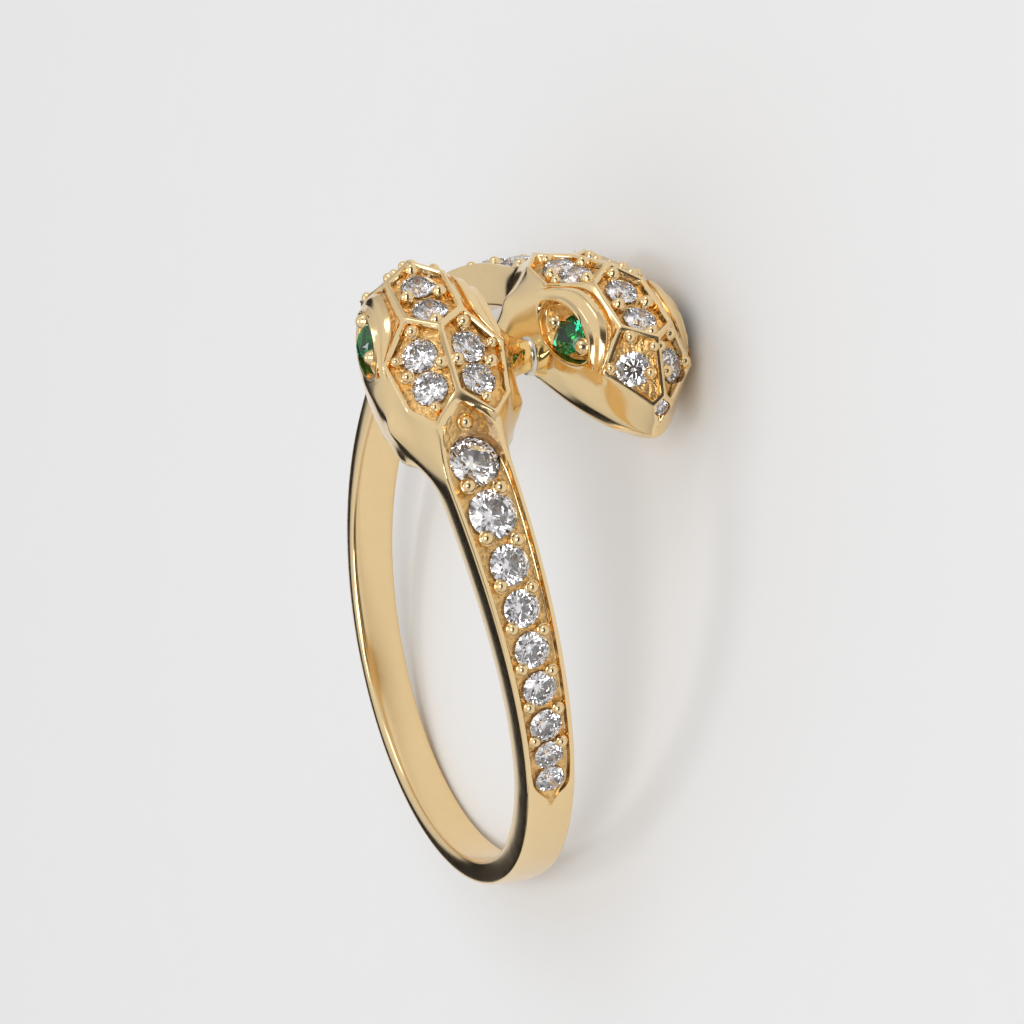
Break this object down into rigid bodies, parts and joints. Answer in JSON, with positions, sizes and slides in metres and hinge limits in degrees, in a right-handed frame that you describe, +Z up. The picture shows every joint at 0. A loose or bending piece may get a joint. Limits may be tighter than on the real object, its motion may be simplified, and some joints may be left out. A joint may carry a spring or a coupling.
{
  "type": "snake wrap ring",
  "caption": "Gold finger ring whose band rises on both sides into two jewelled snake heads that lie side by side and point opposite ways, with white brilliants and green eyes",
  "frame": {"origin": "middle of the lying ring's bounding box, on the surface it lies on", "axes": "+Z up, square to the surface; +Y from the snakes' heads to the foot of the band; +X across the finger's hole. The finger's axis stands 13 degrees from Z."},
  "size_m": [0.0192, 0.021, 0.0095],
  "materials": {
    "gold": "polished yellow gold",
    "white_stone": "polished facets",
    "green_stone": "polished facets"
  },
  "bodies": {
    "root": {"gold_body": "gold", "left_row_stone_1": "white_stone", "left_row_stone_2": "white_stone", "left_row_stone_3": "white_stone", "left_row_stone_4": "white_stone", "left_row_stone_5": "white_stone", "left_row_stone_6": "white_stone", "left_row_stone_7": "white_stone", "left_row_stone_8": "white_stone", "left_row_stone_9": "white_stone", "left_crest_stone_1": "white_stone", "left_crest_stone_2": "white_stone", "left_outer_brow_stone_1": "white_stone", "left_outer_brow_stone_2": "white_stone", "left_inner_brow_stone_1": "white_stone", "left_inner_brow_stone_2": "white_stone", "left_outer_cheek_stone": "white_stone", "left_inner_cheek_stone": "white_stone", "left_nose_stone": "white_stone", "left_outer_eye": "green_stone", "left_inner_eye": "green_stone", "right_row_stone_1": "white_stone", "right_row_stone_2": "white_stone", "right_row_stone_3": "white_stone", "right_row_stone_4": "white_stone", "right_row_stone_5": "white_stone", "right_row_stone_6": "white_stone", "right_row_stone_7": "white_stone", "right_row_stone_8": "white_stone", "right_row_stone_9": "white_stone", "right_crest_stone_1": "white_stone", "right_crest_stone_2": "white_stone", "right_outer_brow_stone_1": "white_stone", "right_outer_brow_stone_2": "white_stone", "right_inner_brow_stone_1": "white_stone", "right_inner_brow_stone_2": "white_stone", "right_outer_cheek_stone": "white_stone", "right_inner_cheek_stone": "white_stone", "right_nose_stone": "white_stone", "right_outer_eye": "green_stone", "right_inner_eye": "green_stone"}
  },
  "joints": []
}
